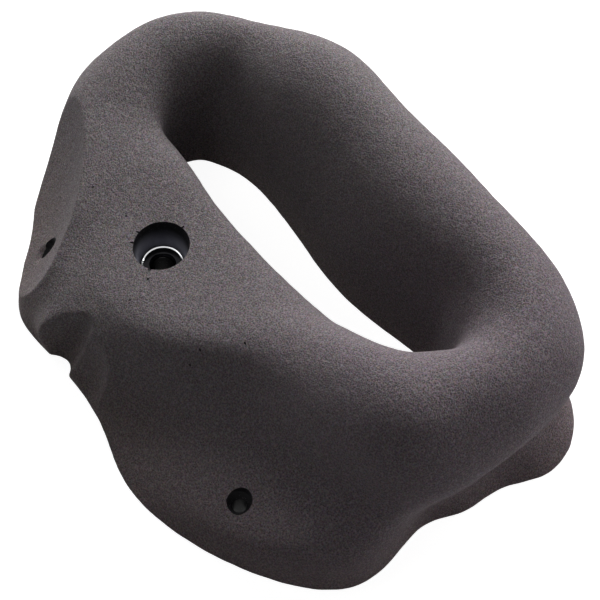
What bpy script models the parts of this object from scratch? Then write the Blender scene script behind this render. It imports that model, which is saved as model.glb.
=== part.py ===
"""A ring-shaped climbing hold: one cast resin body and the steel washer seated in its bolt hole.

Metres, +Z out of the wall. The flat back lies on z = 0, +X runs along the ring, and the plate with the
bolt hole is on the -Y side. Sizes are written in millimetres in a drawing made about the middle line of
the opening, and everything is placed so that the finished hold stands centred over the origin.
"""

import math
from collections import namedtuple

import bmesh
import bpy
import numpy as np
from mathutils import Matrix, Vector

MM = 0.001
MERGE_WITHIN = 0.001 * MM

# Middle of the finished hold in the drawing
CENTRE_X = -24.4
CENTRE_Y = -8.9

# Middle line of the opening, and how far the lofted skin runs on below the back before it is cut flat,
# at its sides and in its middle
OPENING_Y = 10.0
RUN_BELOW = 16.0
RUN_MIDDLE = 20.0
SMOOTH_LEVELS = 2

# Seat washer for M10, with a low rim round its top face
WASHER_OUTSIDE = 20.0
WASHER_BORE = 10.5
WASHER_THICKNESS = 2.5
WASHER_CHAMFER = 1.2
WASHER_EDGE = 0.4
RIM_WIDTH = 1.1
RIM_HEIGHT = 0.5
CLEARANCE = 0.3

# Bolt hole: the bore for an M10 bolt, the flat seat with room round the washer, and a tapered
# counterbore that has its mouth's diameter at the mouth's height
BOLT_X = -54.0
BOLT_Y = -41.0
BOLT_BORE = 11.0
SEAT_HEIGHT = 27.2
SEAT_ROOM = 0.7
SEAT_DIAMETER = WASHER_OUTSIDE + 2 * SEAT_ROOM
MOUTH_DIAMETER = 27.0
MOUTH_HEIGHT = 45.0

# Screw holes: a right-angled countersink for the head over a clearance bore
SCREW_BORE = 6.6
LEFT_SCREW = (-104.0, -75.5)
LEFT_RECESS_DIAMETER = 10.2
LEFT_RECESS_FLOOR = 12.0
FRONT_SCREW = (65.0, -85.5)
FRONT_RECESS_DIAMETER = 12.2
FRONT_RECESS_FLOOR = 15.0

ROUND_STEPS = 48
BALL_STEPS = 72
WASHER_STEPS = 72
SHARP_ANGLE = 32.0

# Sections round the ring. Each starts at x on the middle line of the opening and looks out in plan at
# its turn in degrees from +X. Its outline goes from the inner foot over the top to the outer foot, as
# (reach, height), in an inside and an outside half.
Section = namedtuple("Section", "x turn inside outside")
SECTIONS = (
    # the tube along the far side
    Section(42, 90,
            ((24, 0), (26.5, 25), (30.5, 50), (38, 71.5), (57.5, 82.5)),
            ((75, 75), (81.5, 55), (83, 36), (83, 18), (82, 0))),
    Section(2, 90,
            ((18, 0), (21.5, 25), (27, 50), (37, 71.5), (59, 82)),
            ((77.8, 73), (82.8, 54), (84, 36), (84, 18), (82, 0))),
    Section(-38, 90,
            ((21, 0), (24.5, 25), (29.5, 50), (39.5, 71), (60.5, 82)),
            ((78, 73), (83.6, 54), (85, 36), (85, 18), (83, 0))),
    Section(-80, 90,
            ((24, 0), (25.5, 25), (29.5, 50), (38.5, 70.5), (60, 81)),
            ((78, 71.8), (84.5, 53), (87, 34), (87, 17), (85, 0))),
    # the left end, falling to the plate
    Section(-98, 108,
            ((18, 0), (22, 22), (27.5, 43.5), (36.5, 62), (52.5, 71)),
            ((64, 65.2), (69.8, 49), (74, 32), (75, 16), (75, 0))),
    Section(-100, 135,
            ((16, 0), (18.5, 20), (23.5, 40.5), (33, 58), (49, 67)),
            ((62.8, 62), (70.2, 47), (74, 31), (76, 15), (77, 0))),
    Section(-100, 162,
            ((15, 0), (17.5, 19), (22, 38), (31, 53), (48, 61)),
            ((63, 58), (70, 46), (77, 30), (80, 14), (81, 0))),
    Section(-100, 188,
            ((16, 0), (18, 18), (20, 36), (27, 50), (45, 57)),
            ((61, 51), (70.5, 40), (77, 27), (80, 13), (82, 0))),
    Section(-100, 212,
            ((14, 0), (15, 18), (16, 35), (24, 48), (40, 53)),
            ((57, 48), (66.5, 38), (71.5, 25), (74, 12), (75, 0))),
    Section(-100, 238,
            ((11, 0), (11, 18), (12, 35), (20, 47), (37, 51)),
            ((54, 47), (66, 37), (73.5, 25), (78, 12), (80, 0))),
    # the plate and its left lobe
    Section(-95, 260,
            ((10, 0), (10, 18), (11, 35), (19, 47), (39, 49)),
            ((61, 46), (78, 40), (91, 32), (100, 20), (98, 0))),
    Section(-80, 264,
            ((10, 0), (10, 18), (11, 36), (19, 47), (41, 47)),
            ((64, 44), (82, 40), (98, 34), (113, 23), (109, 0))),
    Section(-69, 268,
            ((11, 0), (11, 18), (12, 36), (20, 47), (43, 46)),
            ((67, 43.5), (87, 39.5), (107, 33.5), (122.5, 23), (109, 0))),
    Section(-50, 270,
            ((12, 0), (12, 19), (14, 37), (22, 47), (46, 46)),
            ((69, 44), (88, 40), (105.5, 31.5), (121.5, 20), (114, 0))),
    Section(-15, 270,
            ((12, 0), (12, 20), (15, 40), (24, 51), (49, 51)),
            ((73, 47), (86, 39.5), (96.5, 26.5), (106.5, 12.5), (117.2, 0))),
    # the front toe, rising to the right end
    Section(22, 270,
            ((11, 0), (11, 22), (14, 44), (22, 56), (38, 60)),
            ((57, 55), (69, 43), (83, 28.5), (103, 14.5), (126.3, 0))),
    Section(34, 290,
            ((11, 0), (12, 25), (14, 49), (21, 62), (35, 68)),
            ((52, 63), (65, 49), (81.5, 29), (111, 15.5), (121.2, 0))),
    Section(42, 316,
            ((11, 0), (12, 27), (15, 53), (24, 70), (42, 77.5)),
            ((63, 72), (77, 57), (86, 37), (105, 25), (111, 0))),
    Section(45, 334,
            ((13, 0), (15, 28), (18, 55), (28, 73), (48, 82)),
            ((71, 77.5), (86, 59.5), (89, 40), (82, 18), (82.4, 0))),
    # the right end, overhanging its foot
    Section(45, 351,
            ((16, 0), (19, 28), (23, 55), (34, 74), (55, 83)),
            ((75, 76), (86, 59), (86, 40), (77, 18), (80.4, 0))),
    Section(45, 367,
            ((21, 0), (24, 27), (28, 54), (40, 74), (60, 83)),
            ((79, 76), (88, 59), (85, 39), (76, 18), (82, 0))),
    Section(45, 381,
            ((25, 0), (29, 27), (35, 53), (46, 73), (64, 83)),
            ((82, 76), (90.5, 59), (88, 39), (82, 18), (95, 0))),
    Section(45, 400,
            ((27, 0), (31.5, 26), (37, 51.5), (47, 72), (65.5, 83)),
            ((83, 76), (93.5, 59), (92.5, 39), (87, 18), (96, 0))),
    Section(45, 425,
            ((26, 0), (30, 25), (34, 50.5), (42.5, 72), (60.5, 83)),
            ((78.5, 75), (87, 57), (88, 38), (87, 18), (84, 0))),
)

# The tallest point of the sections, which every cutter for a hole reaches
CREST = max(height for section in SECTIONS for reach, height in section.inside + section.outside)

# Hollows pressed into the sides, as stretched balls: middle, direction of the long axis, half sizes
# along it, level across it and square to both
Hollow = namedtuple("Hollow", "name middle along halves")
HOLLOWS = (
    Hollow("left_hollow", (-181, -136.8, 85), (0.70, -0.715, 0), (146, 120, 120)),
    Hollow("corner_groove", (-56.3, -115.6, 4), (-0.2, -0.42, -0.89), (66, 10.5, 17)),
    Hollow("corner_facet", (-33, -125, 138), (0.94, -0.342, 0), (48, 50, 150)),
)


def place(x, y, z):
    """Takes a point of the drawing to metres about the middle of the hold."""
    return Vector((x - CENTRE_X, y - CENTRE_Y, z)) * MM


def add_shape(name, mesh):
    bmesh.ops.recalc_face_normals(mesh, faces=mesh.faces)
    data = bpy.data.meshes.new(name)
    mesh.to_mesh(data)
    mesh.free()
    shape = bpy.data.objects.new(name, data)
    bpy.context.collection.objects.link(shape)
    return shape


def section_points(section):
    """The closed outline of one section in the drawing, with its run below the back."""
    inner, outer = section.inside[0][0], section.outside[-1][0]
    third = (outer - inner) / 3
    below = (
        (outer, -RUN_BELOW),
        (outer - third, -RUN_MIDDLE),
        (inner + third, -RUN_MIDDLE),
        (inner, -RUN_BELOW),
    )
    turn = math.radians(section.turn)
    return [
        (section.x + reach * math.cos(turn), OPENING_Y + reach * math.sin(turn), height)
        for reach, height in section.inside + section.outside + below
    ]


def cage_through(points):
    """Moves a closed grid of points so that the smoothed surface passes through the places given."""
    for axis in (0, 1):
        count = points.shape[axis]
        spread = (4 * np.eye(count) + np.roll(np.eye(count), 1, 0) + np.roll(np.eye(count), -1, 0)) / 6
        points = np.moveaxis(np.tensordot(np.linalg.inv(spread), points, (1, axis)), 0, axis)
    return points


def loft(name, rows):
    """Bridges closed rows of points into one ring-shaped skin."""
    mesh = bmesh.new()
    loops = []
    for row in rows:
        corners = [mesh.verts.new(place(*point)) for point in row]
        loops.append([mesh.edges.new(pair) for pair in zip(corners, corners[1:] + corners[:1])])
    for one, other in zip(loops, loops[1:] + loops[:1]):
        bmesh.ops.bridge_loops(mesh, edges=one + other)
    return add_shape(name, mesh)


def turned(name, x, y, profile, steps):
    """Spins a profile of (radius, height) round an upright axis. An open one starts and ends on the axis."""
    mesh = bmesh.new()
    corners = [mesh.verts.new(place(x + radius, y, height)) for radius, height in profile]
    edges = [mesh.edges.new(pair) for pair in zip(corners, corners[1:])]
    if profile[0][0] > 0:
        edges.append(mesh.edges.new((corners[-1], corners[0])))
    bmesh.ops.spin(
        mesh,
        geom=corners + edges,
        cent=place(x, y, 0),
        axis=(0, 0, 1),
        angle=math.tau,
        steps=steps,
        use_merge=True,
    )
    bmesh.ops.remove_doubles(mesh, verts=mesh.verts, dist=MERGE_WITHIN)
    return add_shape(name, mesh)


def ball_cutter(hollow):
    along = Vector(hollow.along).normalized()
    across = along.cross((0, 0, 1)).normalized()
    square = across.cross(along)
    mesh = bmesh.new()
    bmesh.ops.create_uvsphere(mesh, u_segments=BALL_STEPS, v_segments=BALL_STEPS // 2, radius=MM)
    frame = Matrix.Translation(place(*hollow.middle)) @ Matrix((along, across, square)).transposed().to_4x4()
    bmesh.ops.transform(mesh, matrix=frame @ Matrix.Diagonal((*hollow.halves, 1)), verts=mesh.verts)
    return add_shape(hollow.name, mesh)


def box_cutter(name, low, high):
    low, high = place(*low), place(*high)
    mesh = bmesh.new()
    bmesh.ops.create_cube(mesh, size=1)
    frame = Matrix.Translation((low + high) / 2) @ Matrix.Diagonal((*(high - low), 1))
    bmesh.ops.transform(mesh, matrix=frame, verts=mesh.verts)
    return add_shape(name, mesh)


def wall_cutter(points):
    """A block up to the back's plane, standing out past the drawn points and the run below them."""
    low = points.min(axis=(0, 1)) - RUN_MIDDLE
    high = points.max(axis=(0, 1)) + RUN_MIDDLE
    return box_cutter("wall_cutter", low, (high[0], high[1], 0))


def bolt_cutter():
    """The tapered counterbore over the bolt's bore."""
    taper = (MOUTH_DIAMETER - SEAT_DIAMETER) / (MOUTH_HEIGHT - SEAT_HEIGHT) / 2
    profile = (
        (0, -RUN_BELOW / 2),
        (BOLT_BORE / 2, -RUN_BELOW / 2),
        (BOLT_BORE / 2, SEAT_HEIGHT),
        (SEAT_DIAMETER / 2, SEAT_HEIGHT),
        (MOUTH_DIAMETER / 2 + taper * (CREST - MOUTH_HEIGHT), CREST),
        (0, CREST),
    )
    return turned("bolt_cutter", BOLT_X, BOLT_Y, profile, ROUND_STEPS)


def screw_cutter(name, spot, recess, floor):
    """A countersink over a screw's bore."""
    profile = (
        (0, -RUN_BELOW / 2),
        (SCREW_BORE / 2, -RUN_BELOW / 2),
        (SCREW_BORE / 2, floor),
        (recess / 2, floor + (recess - SCREW_BORE) / 2),
        (recess / 2, CREST),
        (0, CREST),
    )
    return turned(name, *spot, profile, ROUND_STEPS)


def cut(body, cutter):
    cutter.hide_render = True
    cutter.display_type = "WIRE"
    step = body.modifiers.new("cut " + cutter.name, "BOOLEAN")
    step.operation = "DIFFERENCE"
    step.solver = "EXACT"
    step.object = cutter


def settle(shape):
    """Keeps the shape that the modifiers make."""
    seen = shape.evaluated_get(bpy.context.evaluated_depsgraph_get())
    finished = bpy.data.meshes.new_from_object(seen)
    shape.modifiers.clear()
    shape.data = finished


def dress(shape, material_name, colour, roughness, metallic):
    material = bpy.data.materials.new(material_name)
    material.use_nodes = True
    shader = material.node_tree.nodes["Principled BSDF"]
    shader.inputs["Base Color"].default_value = (*colour, 1)
    shader.inputs["Roughness"].default_value = roughness
    shader.inputs["Metallic"].default_value = metallic
    shape.data.materials.clear()
    shape.data.materials.append(material)
    shape.data.shade_smooth()
    shape.data.set_sharp_from_angle(angle=math.radians(SHARP_ANGLE))


def make_body():
    points = np.array([section_points(section) for section in SECTIONS], float)
    body = loft("hold_body", cage_through(points).tolist())
    smooth = body.modifiers.new("smooth", "SUBSURF")
    smooth.levels = smooth.render_levels = SMOOTH_LEVELS
    for hollow in HOLLOWS:
        cut(body, ball_cutter(hollow))
    cut(body, bolt_cutter())
    cut(body, screw_cutter("left_screw_cutter", LEFT_SCREW, LEFT_RECESS_DIAMETER, LEFT_RECESS_FLOOR))
    cut(body, screw_cutter("front_screw_cutter", FRONT_SCREW, FRONT_RECESS_DIAMETER, FRONT_RECESS_FLOOR))
    cut(body, wall_cutter(points))
    settle(body)
    return body


def make_washer():
    """A flat ring with a deep chamfer round the top of its bore and a low rim round its top face."""
    low = SEAT_HEIGHT + CLEARANCE
    high = low + WASHER_THICKNESS
    inner, outer = WASHER_BORE / 2, WASHER_OUTSIDE / 2
    profile = (
        (inner, low),
        (outer - WASHER_EDGE, low),
        (outer, low + WASHER_EDGE),
        (outer, high),
        (outer - RIM_WIDTH / 2, high + RIM_HEIGHT),
        (outer - RIM_WIDTH, high),
        (inner + WASHER_CHAMFER, high),
        (inner, high - WASHER_CHAMFER),
    )
    return turned("seat_washer", BOLT_X, BOLT_Y, profile, WASHER_STEPS)


def main():
    for old in list(bpy.data.objects):
        bpy.data.objects.remove(old, do_unlink=True)
    dress(make_body(), "sanded resin", (0.125, 0.110, 0.110), 0.9, 0.0)
    dress(make_washer(), "zinc plated steel", (0.66, 0.66, 0.67), 0.25, 1.0)


main()
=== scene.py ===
# %% [markdown]
# # Dressing a ring-shaped climbing hold
#
# The real hold is one resin casting with sand in its skin, and a steel washer at the bottom of its bolt
# hole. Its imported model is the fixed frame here: right in size and place, but made of broad facets in
# plain colours. This lesson makes a finer skin and a finer washer in the same places, gives them their
# real finish, and sets up a plain studio at the photograph's angle.

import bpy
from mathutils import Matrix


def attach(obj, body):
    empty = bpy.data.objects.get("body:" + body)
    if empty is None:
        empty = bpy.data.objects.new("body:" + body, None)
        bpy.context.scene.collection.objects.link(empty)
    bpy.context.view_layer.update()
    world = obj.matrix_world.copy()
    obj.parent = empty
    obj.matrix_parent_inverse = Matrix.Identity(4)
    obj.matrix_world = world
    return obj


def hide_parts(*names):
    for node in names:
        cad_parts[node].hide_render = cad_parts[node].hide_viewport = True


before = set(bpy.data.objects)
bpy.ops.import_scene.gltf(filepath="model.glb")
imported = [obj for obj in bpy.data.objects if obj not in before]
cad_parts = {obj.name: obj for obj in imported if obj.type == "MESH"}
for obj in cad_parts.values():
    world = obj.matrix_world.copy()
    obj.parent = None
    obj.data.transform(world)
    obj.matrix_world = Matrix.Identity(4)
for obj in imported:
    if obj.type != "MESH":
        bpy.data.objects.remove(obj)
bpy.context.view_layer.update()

# %% Bring in the tools
import math
from collections import namedtuple

import bmesh
import bpy
import numpy as np
from mathutils import Matrix, Vector

MM = 0.001
MERGE_WITHIN = 0.001 * MM

# %% [markdown]
# ## The drawing
#
# The hold was drawn in millimetres about the middle line of its opening, and the finished model stands
# centred over the origin. One function takes a point of the drawing to its place, so every size below
# can be read as it would be on paper.

# %% From the drawing to the model
CENTRE_X = -24.4
CENTRE_Y = -8.9


def place(x, y, z):
    """Takes a point of the drawing to metres about the middle of the hold."""
    return Vector((x - CENTRE_X, y - CENTRE_Y, z)) * MM


print("bolt axis in mm:", [round(value / MM, 1) for value in place(-54, -41, 0)])

# %% [markdown]
# ## The sections of the ring
#
# A sculptor shapes the master of such a hold from foam and feels its sections with the hand: round and
# fat along the far side, where fingers pull, then low and flat at the plate, where the bolt goes
# through. So the skin is lofted through sections that stand round the opening like the ribs of a boat.
# Each rib gives its inside from the foot up to the crest, and its outside back down to the foot.

# %% The sections
OPENING_Y = 10.0
Section = namedtuple("Section", "x turn inside outside")
SECTIONS = (
    # the tube along the far side
    Section(42, 90,
            ((24, 0), (26.5, 25), (30.5, 50), (38, 71.5), (57.5, 82.5)),
            ((75, 75), (81.5, 55), (83, 36), (83, 18), (82, 0))),
    Section(2, 90,
            ((18, 0), (21.5, 25), (27, 50), (37, 71.5), (59, 82)),
            ((77.8, 73), (82.8, 54), (84, 36), (84, 18), (82, 0))),
    Section(-38, 90,
            ((21, 0), (24.5, 25), (29.5, 50), (39.5, 71), (60.5, 82)),
            ((78, 73), (83.6, 54), (85, 36), (85, 18), (83, 0))),
    Section(-80, 90,
            ((24, 0), (25.5, 25), (29.5, 50), (38.5, 70.5), (60, 81)),
            ((78, 71.8), (84.5, 53), (87, 34), (87, 17), (85, 0))),
    # the left end, falling to the plate
    Section(-98, 108,
            ((18, 0), (22, 22), (27.5, 43.5), (36.5, 62), (52.5, 71)),
            ((64, 65.2), (69.8, 49), (74, 32), (75, 16), (75, 0))),
    Section(-100, 135,
            ((16, 0), (18.5, 20), (22.5, 40.5), (31.5, 58.5), (49, 67)),
            ((62.8, 62), (70.2, 47), (74, 31), (76, 15), (77, 0))),
    Section(-100, 162,
            ((15, 0), (17, 19), (20, 38), (28.5, 54), (48, 61)),
            ((63, 58), (70, 46), (77, 30), (80, 14), (81, 0))),
    Section(-100, 188,
            ((16, 0), (17, 18), (17.5, 36), (24, 50.5), (45, 57)),
            ((61, 51), (70.5, 40), (77, 27), (80, 13), (82, 0))),
    Section(-100, 212,
            ((14, 0), (14, 18), (14, 35), (21, 48.5), (40, 53)),
            ((57, 48), (66.5, 38), (71.5, 25), (74, 12), (75, 0))),
    Section(-100, 238,
            ((10, 0), (9.5, 18), (9, 35), (18, 47), (37, 51)),
            ((54, 47), (66, 37), (73.5, 25), (78, 12), (80, 0))),
    # the plate and its left lobe
    Section(-95, 260,
            ((9, 0), (8.5, 18), (8, 35), (17.5, 47), (39, 49)),
            ((61, 46), (78, 40), (91, 32), (100, 20), (98, 0))),
    Section(-80, 264,
            ((10, 0), (9.5, 18), (10, 36), (18.5, 47), (41, 47)),
            ((64, 44), (81, 39), (97.5, 32), (109, 17), (113, 0))),
    Section(-69, 268,
            ((11, 0), (11, 18), (12, 36), (20, 47), (43, 46)),
            ((67, 43.5), (87, 38), (103, 29), (113, 16), (115, 0))),
    Section(-50, 270,
            ((12, 0), (12, 19), (14, 37), (22, 47), (46, 46)),
            ((69, 44), (88, 40), (105.5, 31.5), (121.5, 20), (114, 0))),
    Section(-15, 270,
            ((12, 0), (12, 20), (15, 40), (24, 51), (49, 51)),
            ((73, 47), (86, 39.5), (96.5, 26.5), (106.5, 12.5), (117.2, 0))),
    # the front toe, rising to the right end
    Section(22, 270,
            ((11, 0), (11, 22), (14, 44), (22, 56), (38, 60)),
            ((57, 55), (69, 43), (83, 28.5), (103, 14.5), (126.3, 0))),
    Section(34, 290,
            ((11, 0), (12, 25), (14, 49), (21, 62), (35, 68)),
            ((52, 63), (65, 49), (81.5, 29), (111, 15.5), (121.2, 0))),
    Section(42, 316,
            ((11, 0), (12, 27), (15, 53), (24, 70), (42, 77.5)),
            ((63, 72), (77, 57), (86, 37), (105, 25), (111, 0))),
    Section(45, 334,
            ((13, 0), (15, 28), (18, 55), (28, 73), (48, 82)),
            ((71, 77.5), (86, 59.5), (89, 40), (82, 18), (82.4, 0))),
    # the right end, overhanging its foot
    Section(45, 351,
            ((16, 0), (19, 28), (23, 55), (34, 74), (55, 83)),
            ((75, 76), (86, 59), (86, 40), (77, 18), (80.4, 0))),
    Section(45, 367,
            ((21, 0), (24, 27), (28, 54), (40, 74), (60, 83)),
            ((79, 76), (88, 59), (85, 39), (76, 18), (82, 0))),
    Section(45, 381,
            ((25, 0), (29, 27), (35, 53), (46, 73), (64, 83)),
            ((82, 76), (90.5, 59), (88, 39), (82, 18), (95, 0))),
    Section(45, 400,
            ((27, 0), (31.5, 26), (37, 51.5), (47, 72), (65.5, 83)),
            ((83, 76), (93.5, 59), (92.5, 39), (87, 18), (96, 0))),
    Section(45, 425,
            ((26, 0), (30, 25), (34, 50.5), (42.5, 72), (60.5, 83)),
            ((78.5, 75), (87, 57), (88, 38), (87, 18), (84, 0))),
)
print(len(SECTIONS), "sections round the ring")

# %% [markdown]
# A smoothed cage shrinks away from its own corners, as a rope does when it is pulled round pegs. The
# sections are sizes taken on the surface, so the corners of the cage are first moved outwards by just
# as much as the smoothing will pull them in.

# %% The corners of the cage
RUN_BELOW = 16.0
RUN_MIDDLE = 20.0


def section_points(section):
    """The closed outline of one section in the drawing, with its run below the back."""
    inner, outer = section.inside[0][0], section.outside[-1][0]
    third = (outer - inner) / 3
    below = (
        (outer, -RUN_BELOW),
        (outer - third, -RUN_MIDDLE),
        (inner + third, -RUN_MIDDLE),
        (inner, -RUN_BELOW),
    )
    turn = math.radians(section.turn)
    return [
        (section.x + reach * math.cos(turn), OPENING_Y + reach * math.sin(turn), height)
        for reach, height in section.inside + section.outside + below
    ]


def cage_through(points):
    """Moves a closed grid of points so that the smoothed surface passes through the places given."""
    for axis in (0, 1):
        count = points.shape[axis]
        spread = (4 * np.eye(count) + np.roll(np.eye(count), 1, 0) + np.roll(np.eye(count), -1, 0)) / 6
        points = np.moveaxis(np.tensordot(np.linalg.inv(spread), points, (1, axis)), 0, axis)
    return points


drawn = np.array([section_points(section) for section in SECTIONS], float)
cage = cage_through(drawn)
print("cage of", cage.shape[0], "by", cage.shape[1], "corners")

# %% [markdown]
# ## The skin
#
# Each rib becomes a closed loop of edges, and bridging the loops one after another, the last to the
# first, gives a ring with no seam. A Subdivision Surface then rounds it. This is quicker and more even
# than sculpting, and every rib can still be changed by hand.

# %% Loft the ring
SMOOTH_LEVELS = 4


def add_shape(name, mesh):
    """Keeps a bmesh as an object at the origin, with its faces turned outwards."""
    bmesh.ops.recalc_face_normals(mesh, faces=mesh.faces)
    data = bpy.data.meshes.new(name)
    mesh.to_mesh(data)
    mesh.free()
    shape = bpy.data.objects.new(name, data)
    bpy.context.scene.collection.objects.link(shape)
    return shape


def loft(name, rows):
    """Bridges closed rows of points into one ring-shaped skin."""
    mesh = bmesh.new()
    loops = []
    for row in rows:
        corners = [mesh.verts.new(place(*point)) for point in row]
        loops.append([mesh.edges.new(pair) for pair in zip(corners, corners[1:] + corners[:1])])
    for one, other in zip(loops, loops[1:] + loops[:1]):
        bmesh.ops.bridge_loops(mesh, edges=one + other)
    return add_shape(name, mesh)


skin = loft("sanded_skin", cage.tolist())
smooth = skin.modifiers.new("smooth", "SUBSURF")
smooth.levels = smooth.render_levels = SMOOTH_LEVELS
print("cage faces:", len(skin.data.polygons))

# %% [markdown]
# ## The hollows
#
# Three hollows are pressed into the sides of the ring. On the foam master they are scooped out with a
# rounded rasp, so each one is the mark of a stretched ball: its sides are round and its rim is a clean
# ridge where the scoop left the old surface. A small dish clears the steep side above the left screw.

# %% Scoop the hollows
BALL_STEPS = 96
Hollow = namedtuple("Hollow", "name middle along halves")
HOLLOWS = (
    Hollow("left_hollow", (-181, -136.8, 85), (0.70, -0.715, 0), (146, 120, 120)),
    Hollow("corner_groove", (-57.8, -115.6, 4), (-0.2, -0.42, -0.89), (66, 10.4, 17)),
    Hollow("corner_facet", (-33, -125, 138), (0.94, -0.342, 0), (48, 50, 150)),
    Hollow("left_dish", (-108.3, -79.8, 13.2), (0.70, -0.715, 0), (5.5, 5.5, 5.5)),
)


def stretched_ball(mesh, middle, along, halves, steps):
    """Adds a ball to the mesh, stretched along one direction, level across it and square to both."""
    along = Vector(along).normalized()
    across = along.cross((0, 0, 1)).normalized()
    turn = Matrix((along, across, across.cross(along))).transposed().to_4x4()
    stance = Matrix.Translation(middle) @ turn @ Matrix.Diagonal((*halves, 1))
    bmesh.ops.create_uvsphere(mesh, u_segments=steps, v_segments=steps // 2, radius=MM, matrix=stance)


def ball_cutter(hollow):
    """A ball stretched along one direction, standing where the scoop went in."""
    mesh = bmesh.new()
    stretched_ball(mesh, place(*hollow.middle), hollow.along, hollow.halves, BALL_STEPS)
    return add_shape(hollow.name, mesh)


def cut(shape, cutter):
    """Takes the cutter's space out of the shape. The cut faces keep the cutter's material."""
    step = shape.modifiers.new("cut " + cutter.name, "BOOLEAN")
    step.operation = "DIFFERENCE"
    step.solver = "EXACT"
    step.material_mode = "TRANSFER"
    step.object = cutter


def settle(shape):
    """Keeps the mesh that the modifiers make, and drops the cutters."""
    seen = shape.evaluated_get(bpy.context.evaluated_depsgraph_get())
    finished = bpy.data.meshes.new_from_object(seen)
    cutters = [step.object for step in shape.modifiers if step.type == "BOOLEAN"]
    shape.modifiers.clear()
    shape.data = finished
    for cutter in cutters:
        bpy.data.objects.remove(cutter, do_unlink=True)
    print(shape.name, "has", len(finished.polygons), "faces")


for hollow in HOLLOWS:
    cut(skin, ball_cutter(hollow))
settle(skin)

# %% [markdown]
# Casting and sanding take the edge off every ridge: on the real hold they are rounded by about a
# millimetre and a half. A remesh lays an even net over the shape, and one pass of smoothing then wears
# the ridges down while the broad forms stay as they are.

# %% Wear the ridges down
NET = 1.3
WEAR_PASSES = 1
SMOOTHING = 0.5

net = skin.modifiers.new("even net", "REMESH")
net.mode = "VOXEL"
net.voxel_size = NET * MM
wear = skin.modifiers.new("wear", "SMOOTH")
wear.factor = SMOOTHING
wear.iterations = WEAR_PASSES
settle(skin)

# %% [markdown]
# The left lobe is gripped most, so there the ridges are softer still: the ridge of the side hollow
# fades near the tip of the lobe, and the corner groove runs in softly. A vertex group marks such
# places, fully in the inner half of their reach, and a second smoothing works only there. A hand with
# sandpaper also leaves the broad forms a little uneven, and takes off a sixth of a millimetre.

# %% Soften the lobe and sand the whole
SoftSpot = namedtuple("SoftSpot", "middle reach")
SOFT_SPOTS = (
    SoftSpot((-66, -104, 27), 18),
    SoftSpot((-48, -101, 12), 14),
)
SOFT_PASSES = 30
UNEVEN_ACROSS = 9.0
UNEVEN_DEPTH = 0.45
SANDED_SHARE = 0.85


def softness(corner):
    """How much a corner of the skin is softened: 1 in the middle of a soft spot, 0 at its reach."""
    left = max(1 - (corner.co - place(*spot.middle)).length / (spot.reach * MM) for spot in SOFT_SPOTS)
    return max(0, min(1, 2 * left))


soft = skin.vertex_groups.new(name="soft")
for corner in skin.data.vertices:
    if softness(corner) > 0:
        soft.add([corner.index], softness(corner), "REPLACE")
softer = skin.modifiers.new("softer", "SMOOTH")
softer.vertex_group = soft.name
softer.factor = SMOOTHING
softer.iterations = SOFT_PASSES
clouds = bpy.data.textures.new("uneven sanding", "CLOUDS")
clouds.noise_scale = UNEVEN_ACROSS * MM
clouds.noise_depth = 2
uneven = skin.modifiers.new("uneven sanding", "DISPLACE")
uneven.texture = clouds
uneven.strength = UNEVEN_DEPTH * MM
uneven.mid_level = SANDED_SHARE
settle(skin)

# %% [markdown]
# ## The holes
#
# The bolt hole and the two screw holes are moulded by steel pins that stand in the mould, so they are
# truly round and crisp. They are cut after the ridges are worn, and so they stay sharp. The bolt hole
# is a tapered counterbore over a flat seat and a bore; a screw hole is a countersink over a bore. The
# pins are polished, so the faces that they mould get a material of their own.

# %% Cut the holes
ROUND_STEPS = 96
BOLT_X = -54.0
BOLT_Y = -41.0
BOLT_BORE = 11.0
SEAT_HEIGHT = 27.2
SEAT_DIAMETER = 21.4
MOUTH_DIAMETER = 27.0
MOUTH_HEIGHT = 45.0
SCREW_BORE = 6.6
LEFT_SCREW = (-104.0, -75.5)
LEFT_RECESS_DIAMETER = 10.2
LEFT_RECESS_FLOOR = 12.0
FRONT_SCREW = (65.0, -85.5)
FRONT_RECESS_DIAMETER = 12.2
FRONT_RECESS_FLOOR = 15.0
CREST = drawn[:, :, 2].max()

sanded = bpy.data.materials.new("sanded polyurethane resin")
moulded = bpy.data.materials.new("pin-moulded resin")
skin.data.materials.clear()
skin.data.materials.append(sanded)


def turned(name, x, y, profile, steps):
    """Spins a profile of (radius, height) round an upright axis. One that starts on the axis ends there."""
    mesh = bmesh.new()
    corners = [mesh.verts.new(place(x + radius, y, height)) for radius, height in profile]
    edges = [mesh.edges.new(pair) for pair in zip(corners, corners[1:])]
    if profile[0][0] > 0:
        edges.append(mesh.edges.new((corners[-1], corners[0])))
    bmesh.ops.spin(
        mesh,
        geom=corners + edges,
        cent=place(x, y, 0),
        axis=(0, 0, 1),
        angle=math.tau,
        steps=steps,
        use_merge=True,
    )
    bmesh.ops.remove_doubles(mesh, verts=mesh.verts, dist=MERGE_WITHIN)
    return add_shape(name, mesh)


def bolt_pin():
    """The pin that moulds the bolt hole."""
    taper = (MOUTH_DIAMETER - SEAT_DIAMETER) / (MOUTH_HEIGHT - SEAT_HEIGHT) / 2
    profile = (
        (0, -RUN_BELOW / 2),
        (BOLT_BORE / 2, -RUN_BELOW / 2),
        (BOLT_BORE / 2, SEAT_HEIGHT),
        (SEAT_DIAMETER / 2, SEAT_HEIGHT),
        (MOUTH_DIAMETER / 2 + taper * (CREST - MOUTH_HEIGHT), CREST),
        (0, CREST),
    )
    return turned("bolt_pin", BOLT_X, BOLT_Y, profile, ROUND_STEPS)


def screw_pin(name, spot, recess, floor):
    """The pin that moulds a screw hole."""
    profile = (
        (0, -RUN_BELOW / 2),
        (SCREW_BORE / 2, -RUN_BELOW / 2),
        (SCREW_BORE / 2, floor),
        (recess / 2, floor + (recess - SCREW_BORE) / 2),
        (recess / 2, CREST),
        (0, CREST),
    )
    return turned(name, *spot, profile, ROUND_STEPS)


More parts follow.
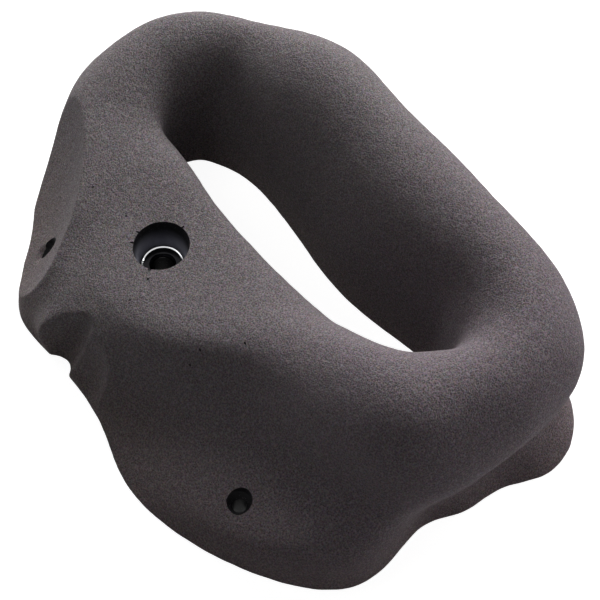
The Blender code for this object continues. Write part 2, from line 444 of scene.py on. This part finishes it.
for pin in (
    bolt_pin(),
    screw_pin("left_screw_pin", LEFT_SCREW, LEFT_RECESS_DIAMETER, LEFT_RECESS_FLOOR),
    screw_pin("front_screw_pin", FRONT_SCREW, FRONT_RECESS_DIAMETER, FRONT_RECESS_FLOOR),
):
    pin.data.materials.append(moulded)
    cut(skin, pin)
    print("hole moulded by", pin.name)

# %% [markdown]
# ## The flat back
#
# The back of a cast hold is ground flat so that it sits tight on the wall. Everything below the wall's
# plane is cut away last, which leaves one true plane with the bores open in it.

# %% Grind the back flat
def wall_block():
    """A block with its top face on the wall's plane, standing out past every drawn point."""
    low = drawn.min(axis=(0, 1)) - RUN_MIDDLE
    high = drawn.max(axis=(0, 1)) + RUN_MIDDLE
    low, high = place(*low), place(high[0], high[1], 0)
    mesh = bmesh.new()
    stance = Matrix.Translation((low + high) / 2) @ Matrix.Diagonal((*(high - low), 1))
    bmesh.ops.create_cube(mesh, size=1, matrix=stance)
    return add_shape("wall_block", mesh)


cut(skin, wall_block())
settle(skin)

# %% [markdown]
# ## Chips and bubbles
#
# Where the pin of the bolt hole is drawn out, the resin chips a little at the mouth, and bubbles of air
# in the casting open as pinholes when it is sanded. They are small, but the eye finds them at once on
# an even grain. Each is the mark of a small stretched ball, set on the surface by a ray from above.

# %% Chip the mouth and open the bubbles
Pit = namedtuple("Pit", "x y halves")
PITS = (
    # chips at the mouth of the bolt hole, lying out from its axis
    Pit(-67.4, -44.7, (1.1, 0.5, 0.5)),
    Pit(-64.6, -50.2, (1.2, 0.5, 0.5)),
    Pit(-55.6, -27.1, (1.1, 0.5, 0.5)),
    Pit(-46.9, -52.5, (1.4, 0.9, 0.7)),
    # bubbles in the plate and its front slope
    Pit(-42.9, -56.5, (0.7, 0.6, 0.5)),
    Pit(-78.3, -43.9, (0.5, 0.5, 0.4)),
    Pit(-39.6, -69.3, (0.5, 0.5, 0.4)),
    Pit(-101.0, -47.1, (0.5, 0.6, 0.4)),
    Pit(4.8, -67.4, (0.8, 0.6, 0.5)),
    Pit(4.5, -61.2, (0.9, 0.5, 0.5)),
    Pit(18.2, -45.7, (0.9, 0.5, 0.5)),
)
PIT_STEPS = 12
ABOVE = 20.0

mesh = bmesh.new()
for pit in PITS:
    hit, spot, facing, face = skin.ray_cast(place(pit.x, pit.y, CREST + ABOVE), (0, 0, -1))
    outward = (pit.x - BOLT_X, pit.y - BOLT_Y, 0)
    stretched_ball(mesh, spot, outward, pit.halves, PIT_STEPS)
pits = add_shape("pits", mesh)
pits.data.materials.append(moulded)
cut(skin, pits)
settle(skin)
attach(skin, "root")
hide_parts("hold_body")

# %% [markdown]
# ## The seat washer
#
# The washer is stamped from steel strip, which turns its outer rim up into a low lip, and plated
# bright. Its profile is spun round the bolt's axis. The inside of the lip leans so far that it mirrors
# the sky, and so it shows as one bright line round the dark flat of the washer.

# %% Turn the washer
WASHER_OUTSIDE = 20.0
WASHER_BORE = 10.5
WASHER_THICKNESS = 2.5
WASHER_CHAMFER = 1.2
WASHER_EDGE = 0.4
RIM_WIDTH = 0.8
RIM_HEIGHT = 0.35
RIM_TOP = 0.2
CLEARANCE = 0.3
WASHER_STEPS = 128
ROLL = 0.12
ROLL_STEPS = 3
ROLL_FROM_ANGLE = 20.0
WASHER_BASE = SEAT_HEIGHT + CLEARANCE
WASHER_FLAT = WASHER_BASE + WASHER_THICKNESS


def washer_profile():
    """The washer's section as (radius, height), from its bore round to its bore."""
    inner, outer = WASHER_BORE / 2, WASHER_OUTSIDE / 2
    return (
        (inner, WASHER_BASE),
        (outer - WASHER_EDGE, WASHER_BASE),
        (outer, WASHER_BASE + WASHER_EDGE),
        (outer, WASHER_FLAT + RIM_HEIGHT),
        (outer - RIM_TOP, WASHER_FLAT + RIM_HEIGHT),
        (outer - RIM_WIDTH, WASHER_FLAT),
        (inner + WASHER_CHAMFER, WASHER_FLAT),
        (inner, WASHER_FLAT - WASHER_CHAMFER),
    )


washer = turned("plated_washer", BOLT_X, BOLT_Y, washer_profile(), WASHER_STEPS)
roll = washer.modifiers.new("rolled edges", "BEVEL")
roll.width = ROLL * MM
roll.segments = ROLL_STEPS
roll.limit_method = "ANGLE"
roll.angle_limit = math.radians(ROLL_FROM_ANGLE)
settle(washer)
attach(washer, "root")
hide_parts("seat_washer")

# %% [markdown]
# ## Finishes
#
# Every finish is built from nodes. One function turns a colour from the hex value that a paint chart
# gives to the linear numbers that light works in, and one adds a node with its settings and links.

# %% Helpers for the finishes
def linear(colour):
    """Turns an sRGB hex value to linear red, green, blue and full opacity."""
    parts = [int(colour[i:i + 2], 16) / 255 for i in (1, 3, 5)]
    return (*(p / 12.92 if p <= 0.04045 else ((p + 0.055) / 1.055) ** 2.4 for p in parts), 1)


def add_node(tree, kind, settings, links):
    """Adds one node. Settings name its properties or sockets, links name sockets and what feeds them."""
    made = tree.nodes.new(kind)
    for name, value in settings.items():
        if isinstance(name, str) and hasattr(made, name):
            setattr(made, name, value)
        else:
            made.inputs[name].default_value = value
    for name, source in links.items():
        tree.links.new(source, made.inputs[name])
    return made


def open_material(material):
    """Turns a material's nodes on and gives its tree and its own Principled shader."""
    material.use_nodes = True
    return material.node_tree, material.node_tree.nodes["Principled BSDF"]


print("plate colour:", [round(value, 3) for value in linear("#6C6565")])

# %% [markdown]
# ### Sanded resin: the grain
#
# The casting is polyurethane resin that copies the sanded foam of its master: a close grain of bumps
# and pits under a millimetre across, all over, which scatters light so that nothing shines. Most of
# what the eye sees of it is light and shade on the bumps, and its colour adds painted shade in the pits and
# painted light on the peaks.

# %% The grain of the sanded resin
GRAIN = 0.55
PIT = 0.9
PIT_SHARE = 0.45
LUMP = 4.0
LUMP_SHARE = 0.8
GRAIN_DEPTH = 0.6

tree, shader = open_material(sanded)
spot = add_node(tree, "ShaderNodeTexCoord", {}, {}).outputs["Object"]
grain = add_node(tree, "ShaderNodeTexNoise",
                 {"Scale": 1 / (GRAIN * MM), "Detail": 3.0, "Roughness": 0.65},
                 {"Vector": spot}).outputs["Fac"]
pit = add_node(tree, "ShaderNodeTexVoronoi",
               {"feature": "SMOOTH_F1", "Scale": 1 / (PIT * MM), "Smoothness": 0.4},
               {"Vector": spot}).outputs["Distance"]
lump = add_node(tree, "ShaderNodeTexNoise", {"Scale": 1 / (LUMP * MM), "Detail": 1.0},
                {"Vector": spot}).outputs["Fac"]
fine = add_node(tree, "ShaderNodeMath", {"operation": "MULTIPLY_ADD", 1: PIT_SHARE},
                {0: pit, 2: grain}).outputs[0]
height = add_node(tree, "ShaderNodeMath", {"operation": "MULTIPLY_ADD", 1: LUMP_SHARE},
                  {0: lump, 2: fine}).outputs[0]
bump = add_node(tree, "ShaderNodeBump", {"Strength": 1.0, "Distance": GRAIN_DEPTH * MM},
                {"Height": height}).outputs["Normal"]
tree.links.new(bump, shader.inputs["Normal"])
print("grain depth in mm:", GRAIN_DEPTH)

# %% [markdown]
# ### Sanded resin: the colour
#
# The pigment is a warm charcoal with a faint purple cast. Its colour has painted shade in the pits and a
# painted highlight on the peaks of the grain, drifts to purple towards the raised end, and is browner
# towards the foot. Crumbs of the filler, some purple and some brown, lie in it and are cut open by the
# sanding.

# %% The colour of the sanded resin
PIT_SHADE_UP_TO, PEAK_LIGHT_FROM = 0.45, 0.95
PURPLE_FROM, PURPLE_TO = -20.0, 150.0
FOOT_TO = 30.0
CRUMB = 0.8
CRUMB_SHARE = 0.6

# Painted shade and light: the colour is darker in the pits and paler on the peaks, following the grain's
# height.
pit_shade_peak_light = add_node(tree, "ShaderNodeMapRange", {"From Min": PIT_SHADE_UP_TO, "From Max": PEAK_LIGHT_FROM},
                {"Value": fine}).outputs["Result"]
grain_light_and_shade_paint = add_node(tree, "ShaderNodeMix",
                   {"data_type": "RGBA", 6: linear("#3B3636"), 7: linear("#8E8689")},
                   {0: pit_shade_peak_light}).outputs[2]
along = add_node(tree, "ShaderNodeSeparateXYZ", {}, {"Vector": spot}).outputs
end = add_node(tree, "ShaderNodeMapRange",
               {"From Min": PURPLE_FROM * MM, "From Max": PURPLE_TO * MM},
               {"Value": along["X"]}).outputs["Result"]
# The colour is browner towards the foot.
foot = add_node(tree, "ShaderNodeMapRange", {"From Max": FOOT_TO * MM},
                {"Value": along["Z"]}).outputs["Result"]
purple = add_node(tree, "ShaderNodeMix",
                  {"data_type": "RGBA", 6: linear("#FFFFFF"), 7: linear("#FFF8FF")},
                  {0: end}).outputs[2]
browner_low = add_node(tree, "ShaderNodeMix",
                 {"data_type": "RGBA", 6: linear("#FFF8F2"), 7: linear("#FFFFFF")},
                 {0: foot}).outputs[2]
cast = add_node(tree, "ShaderNodeMix", {"data_type": "RGBA", "blend_type": "MULTIPLY", 0: 1.0},
                {6: purple, 7: browner_low}).outputs[2]
crumb = add_node(tree, "ShaderNodeTexNoise", {"Scale": 1 / (CRUMB * MM), "Detail": 2.0},
                 {"Vector": spot}).outputs["Color"]
tint = add_node(tree, "ShaderNodeMix", {"data_type": "RGBA", "blend_type": "SOFT_LIGHT", 0: CRUMB_SHARE},
                {6: grain_light_and_shade_paint, 7: crumb}).outputs[2]
colour = add_node(tree, "ShaderNodeMix", {"data_type": "RGBA", "blend_type": "MULTIPLY", 0: 1.0},
                  {6: tint, 7: cast}).outputs[2]
tree.links.new(colour, shader.inputs["Base Color"])
shader.inputs["Roughness"].default_value = 0.9
shader.inputs["Specular IOR Level"].default_value = 0.25
print(sanded.name, "has", len(tree.nodes), "nodes")

# %% [markdown]
# ### Resin against the pins
#
# Against the polished pins the same resin comes out smooth and close, without the frosting of the
# sand, so it looks nearly black, and the release wax dulls what gloss it has. On the wall of the bolt
# hole the colour turns a pale bluish grey by the seat and fades up the wall, and specks of dust
# cling to it.

# %% The pin-moulded resin
SPECK = 0.7
DUST_FROM, DUST_FULL = 0.62, 0.72
DUST_SHARE = 0.5
PALE_BY_SEAT_REACH = 20.0
SEAT_MIDDLE = place(BOLT_X, BOLT_Y, SEAT_HEIGHT)

tree, shader = open_material(moulded)
spot = add_node(tree, "ShaderNodeTexCoord", {}, {}).outputs["Object"]
up = add_node(tree, "ShaderNodeSeparateXYZ", {}, {"Vector": spot}).outputs["Z"]
from_seat = add_node(tree, "ShaderNodeVectorMath", {"operation": "DISTANCE", 1: SEAT_MIDDLE},
                     {0: spot}).outputs["Value"]
# The wall is paler by the seat, fading out over its reach.
low_down = add_node(tree, "ShaderNodeMapRange",
                    {"interpolation_type": "SMOOTHERSTEP", "From Min": SEAT_DIAMETER / 2 * MM,
                     "From Max": PALE_BY_SEAT_REACH * MM, "To Min": 1.0, "To Max": 0.0},
                    {"Value": from_seat}).outputs["Result"]
over_seat = add_node(tree, "ShaderNodeMath", {"operation": "GREATER_THAN", 1: SEAT_HEIGHT * MM},
                     {0: up}).outputs[0]
pale_by_seat = add_node(tree, "ShaderNodeMath", {"operation": "MULTIPLY"}, {0: low_down, 1: over_seat}).outputs[0]
dark_and_pale_by_seat = add_node(tree, "ShaderNodeMix",
                 {"data_type": "RGBA", 6: linear("#161517"), 7: linear("#B4B4C0")},
                 {0: pale_by_seat}).outputs[2]
speck = add_node(tree, "ShaderNodeTexNoise", {"Scale": 1 / (SPECK * MM), "Detail": 2.0},
                 {"Vector": spot}).outputs["Fac"]
dust = add_node(tree, "ShaderNodeMapRange",
                {"From Min": DUST_FROM, "From Max": DUST_FULL, "To Max": DUST_SHARE},
                {"Value": speck}).outputs["Result"]
dark = add_node(tree, "ShaderNodeMix", {"data_type": "RGBA", 7: linear("#6E6C72")},
                {0: dust, 6: dark_and_pale_by_seat}).outputs[2]
gloss = add_node(tree, "ShaderNodeMapRange", {"To Min": 0.4, "To Max": 0.6},
                 {"Value": speck}).outputs["Result"]
tree.links.new(dark, shader.inputs["Base Color"])
tree.links.new(gloss, shader.inputs["Roughness"])
shader.inputs["Specular IOR Level"].default_value = 0.08
print(moulded.name, "has", len(tree.nodes), "nodes")

# %% [markdown]
# ### Zinc plated steel
#
# The washer is punched from mild steel and zinc plated in a drum with many others. That leaves it
# bright, with faint scuffs in every direction and a cool grey. Its flat is painted near black, a painted
# reflection of the dark wall of the hole that it faces, and only the lip shows the bright zinc.

# %% The plated steel
SCUFF = 1.2
PAINTED_FLAT_UP_TO = 0.06

plated = bpy.data.materials.new("zinc plated steel")
tree, shader = open_material(plated)
spot = add_node(tree, "ShaderNodeTexCoord", {}, {}).outputs["Object"]
scuff = add_node(tree, "ShaderNodeTexNoise", {"Scale": 1 / (SCUFF * MM), "Detail": 4.0},
                 {"Vector": spot}).outputs["Fac"]
dullness = add_node(tree, "ShaderNodeMapRange",
                    {"From Min": 0.3, "From Max": 0.7, "To Min": 0.08, "To Max": 0.18},
                    {"Value": scuff}).outputs["Result"]
zinc = add_node(tree, "ShaderNodeMix",
                {"data_type": "RGBA", 6: linear("#D4D6D9"), 7: linear("#E6E7E8")},
                {0: scuff}).outputs[2]
up = add_node(tree, "ShaderNodeSeparateXYZ", {}, {"Vector": spot}).outputs["Z"]
lip = add_node(tree, "ShaderNodeMath",
               {"operation": "GREATER_THAN", 1: (WASHER_FLAT + PAINTED_FLAT_UP_TO) * MM},
               {0: up}).outputs[0]
# Painted reflection: below the lip the washer is painted near black for the dark wall it mirrors.
steel = add_node(tree, "ShaderNodeMix", {"data_type": "RGBA", 6: linear("#242426")},
                 {0: lip, 7: zinc}).outputs[2]
tree.links.new(steel, shader.inputs["Base Color"])
tree.links.new(dullness, shader.inputs["Roughness"])
shader.inputs["Metallic"].default_value = 1.0
washer.data.materials.clear()
washer.data.materials.append(plated)
print(plated.name, "has", len(tree.nodes), "nodes")

# %% Smooth shading with the crisp edges kept
SHARP_ANGLE = 32.0
for shape in (skin, washer):
    shape.data.shade_smooth()
    shape.data.set_sharp_from_angle(angle=math.radians(SHARP_ANGLE))
    print(shape.name, "is smooth, with its edges over", SHARP_ANGLE, "degrees kept")

# %% [markdown]
# ## The studio
#
# The photograph was taken over a white table under wide, soft light from behind and above. The floor
# and the air here show white to the camera and to shiny surfaces. Otherwise the floor gives back half
# of the light that falls on it and keeps the hold's shadow, and the air gives none.

# %% The floor
FLOOR_HALF = 3.0
FLOOR_DROP = 0.3
FLOOR_GLOW = 0.93


def seen_directly(tree):
    """Gives 1 to rays that the camera sends, also by way of a shiny or clear surface, and 0 to others."""
    rays = add_node(tree, "ShaderNodeLightPath", {}, {}).outputs
    mirrored = add_node(tree, "ShaderNodeMath", {"operation": "MAXIMUM"},
                        {0: rays["Is Camera Ray"], 1: rays["Is Glossy Ray"]}).outputs[0]
    return add_node(tree, "ShaderNodeMath", {"operation": "MAXIMUM"},
                    {0: mirrored, 1: rays["Is Transmission Ray"]}).outputs[0]


mesh = bmesh.new()
bmesh.ops.create_grid(mesh, x_segments=1, y_segments=1, size=FLOOR_HALF)
bmesh.ops.translate(mesh, verts=mesh.verts, vec=(0, 0, -FLOOR_DROP * MM))
floor = add_shape("studio_floor", mesh)
paper = bpy.data.materials.new("white paper sweep")
tree, shader = open_material(paper)
tree.nodes.remove(shader)
glow = add_node(tree, "ShaderNodeEmission",
                {"Color": linear("#FFFFFF"), "Strength": FLOOR_GLOW}, {}).outputs[0]
matt = add_node(tree, "ShaderNodeBsdfDiffuse", {"Color": linear("#BCBCBC")}, {}).outputs[0]
shown = add_node(tree, "ShaderNodeAddShader", {}, {0: glow, 1: matt}).outputs[0]
mixed = add_node(tree, "ShaderNodeMixShader", {}, {0: seen_directly(tree), 1: matt, 2: shown}).outputs[0]
tree.links.new(mixed, tree.nodes["Material Output"].inputs["Surface"])
floor.data.materials.append(paper)
print("floor half width in m:", FLOOR_HALF)

# %% The air round the table
world = bpy.data.worlds.new("studio air")
bpy.context.scene.world = world
world.use_nodes = True
tree = world.node_tree
air = tree.nodes["Background"]
air.inputs["Color"].default_value = linear("#FFFFFF")
air.inputs["Strength"].default_value = 0.0
white = add_node(tree, "ShaderNodeBackground", {"Color": linear("#FFFFFF"), "Strength": 1.0}, {}).outputs[0]
mixed = add_node(tree, "ShaderNodeMixShader", {},
                 {0: seen_directly(tree), 1: air.outputs[0], 2: white}).outputs[0]
tree.links.new(mixed, tree.nodes["World Output"].inputs["Surface"])
print("the air gives off no light, and shows as white")

# %% [markdown]
# Round lamps stand on a dome over the table, all at the same distance and all of one size. Each is
# given by its bearing and height as seen from the hold, and by the brightness that it alone would give
# a white card turned towards it. The strong one is the window behind the hold.

# %% The lamps
DOME = 1.6
LAMP_SIZE = 0.9
Lamp = namedtuple("Lamp", "name bearing rise brightness")
LAMPS = (
    Lamp("back_window", 225, 30, 1.03),
    Lamp("back_wall", 180, 30, 0.38),
    Lamp("left_wall", 270, 8, 0.31),
    Lamp("left_high", 300, 60, 0.12),
    Lamp("right_wall", 135, 30, 0.08),
    Lamp("right_low", 90, 8, 0.08),
)


def towards(bearing, rise):
    """The direction at a bearing from the front, turning to the right end, and at a rise over the table."""
    bearing, rise = math.radians(bearing), math.radians(rise)
    return Vector((math.sin(bearing) * math.cos(rise), -math.cos(bearing) * math.cos(rise), math.sin(rise)))


def soft_lamp(name, bearing, rise, brightness):
    """A round lamp on the dome that looks at the hold."""
    out = towards(bearing, rise)
    lamp = bpy.data.lights.new(name, "AREA")
    lamp.shape = "DISK"
    lamp.size = LAMP_SIZE
    lamp.energy = brightness * (math.pi * DOME) ** 2
    stand = bpy.data.objects.new(name, lamp)
    bpy.context.scene.collection.objects.link(stand)
    stand.location = out * DOME
    stand.rotation_euler = (-out).to_track_quat("-Z", "Y").to_euler()


for lamp in LAMPS:
    soft_lamp(*lamp)
print(len(LAMPS), "lamps")

# %% [markdown]
# ## The camera
#
# The photograph looks down on the hold from the front right. The angle, the distance and the lens were
# worked out from the flat back's outline and the round holes.

# %% The camera
AZIMUTH = 52.0
ELEVATION = 57.5
DISTANCE = 0.95
LENS = 120.0
LOOK_AT = place(0, 0, 25)

back = towards(AZIMUTH, ELEVATION)
right = Vector((0, 0, 1)).cross(back).normalized()
camera = bpy.data.objects.new("camera", bpy.data.cameras.new("camera"))
bpy.context.scene.collection.objects.link(camera)
camera.data.lens = LENS
camera.matrix_world = Matrix.Translation(LOOK_AT + DISTANCE * back) @ \
    Matrix((right, back.cross(right), back)).transposed().to_4x4()
bpy.context.scene.camera = camera
bpy.context.scene.view_settings.view_transform = "Standard"
print("the camera stands at", [round(value, 3) for value in LOOK_AT + DISTANCE * back])
